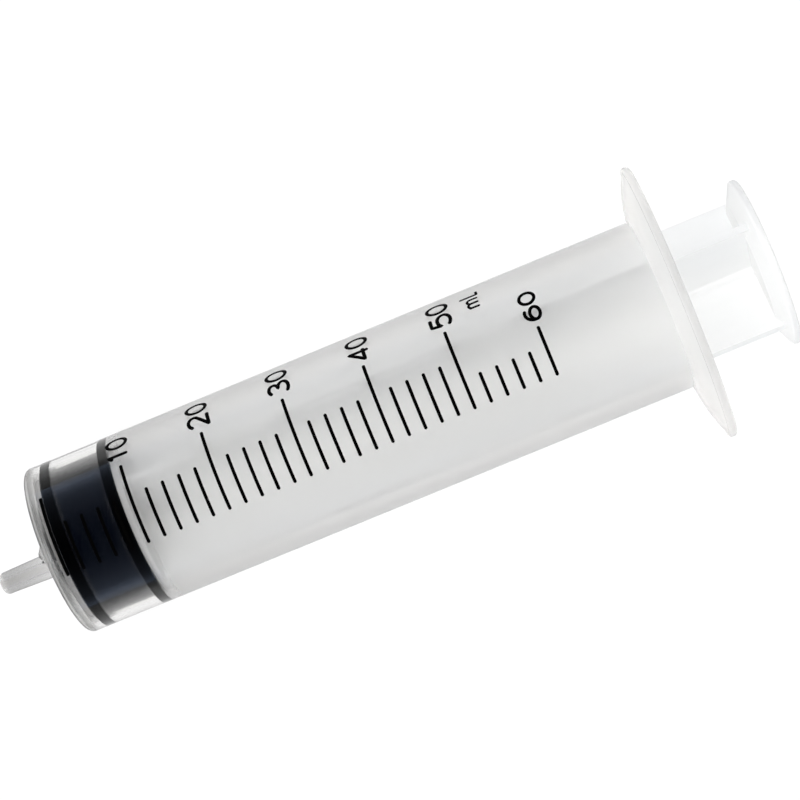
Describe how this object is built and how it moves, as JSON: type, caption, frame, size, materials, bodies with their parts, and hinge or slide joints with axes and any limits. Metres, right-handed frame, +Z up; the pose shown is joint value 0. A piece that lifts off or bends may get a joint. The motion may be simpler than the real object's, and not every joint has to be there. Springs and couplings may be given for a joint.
{
  "type": "slip nozzle syringe",
  "caption": "Large three-piece syringe with a graduated clear barrel, slip nozzle, oval finger flange, black rubber seal and ribbed plunger rod.",
  "frame": {"origin": "middle of the bounding box on the table the syringe lies on", "axes": "+X along the barrel from the nozzle to the thumb rest, seen from above; +Z up; the barrel's axis rises 2.33 degrees towards +X"},
  "size_m": [0.1486, 0.0513, 0.041],
  "materials": {
    "clear_barrel": "gloss, translucent milky polypropylene",
    "clear_rod": "satin, translucent milky polypropylene",
    "black_rubber": "satin, lightly siliconed rubber"
  },
  "bodies": {
    "barrel": {"barrel": "clear_barrel"},
    "seal": {"plunger_seal": "black_rubber"},
    "rod": {"plunger_rod": "clear_rod"}
  },
  "joints": [
    {"name": "plunger_slide", "type": "slide", "parent": "barrel", "child": "seal", "axis": [0.9992, 0, 0.0407], "range_m": [0, 0.1]},
    {"name": "rod_turn", "type": "hinge", "parent": "seal", "child": "rod", "pos_m": [-0.0243, 0.0008, 0.0172], "axis": [0.9992, 0, 0.0407], "continuous": true}
  ]
}
